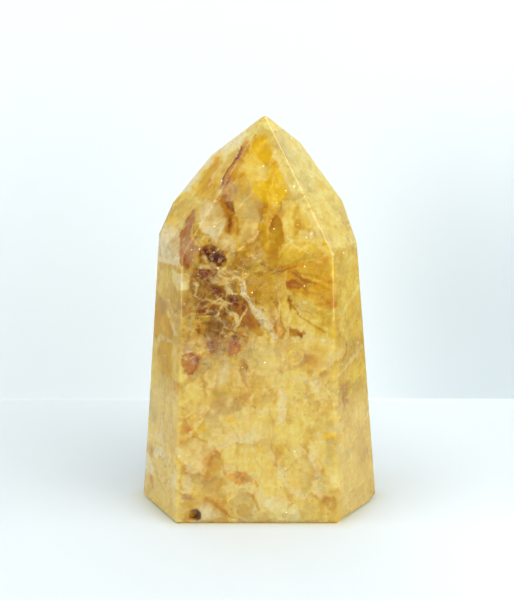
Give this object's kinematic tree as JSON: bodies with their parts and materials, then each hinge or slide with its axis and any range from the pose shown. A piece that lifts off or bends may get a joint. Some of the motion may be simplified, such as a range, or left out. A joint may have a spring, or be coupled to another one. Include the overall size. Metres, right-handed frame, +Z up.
{
  "type": "golden healer quartz point",
  "caption": "Polished free-standing quartz point with a flat base and a faceted tip, clear golden stone full of healed fractures, cloudy veils and iron-brown inclusions",
  "frame": {"origin": "middle of the box in plan, on the flat base that the stone stands on", "axes": "+Z runs up from the base to the tip; -Y is the broad front face with the small pit low on its left; +X is to the right of that face"},
  "size_m": [0.0608, 0.039, 0.1],
  "materials": {
    "golden_quartz": "polished clear quartz stained gold by iron, with cloudy veils and rust-brown inclusions inside",
    "milky_veil": "thin cloudy veils and healed fractures sealed in the quartz",
    "iron_stain": "rust-brown and purple-brown iron oxide sealed in the quartz"
  },
  "bodies": {
    "root": {"quartz_point": "golden_quartz"}
  },
  "joints": []
}
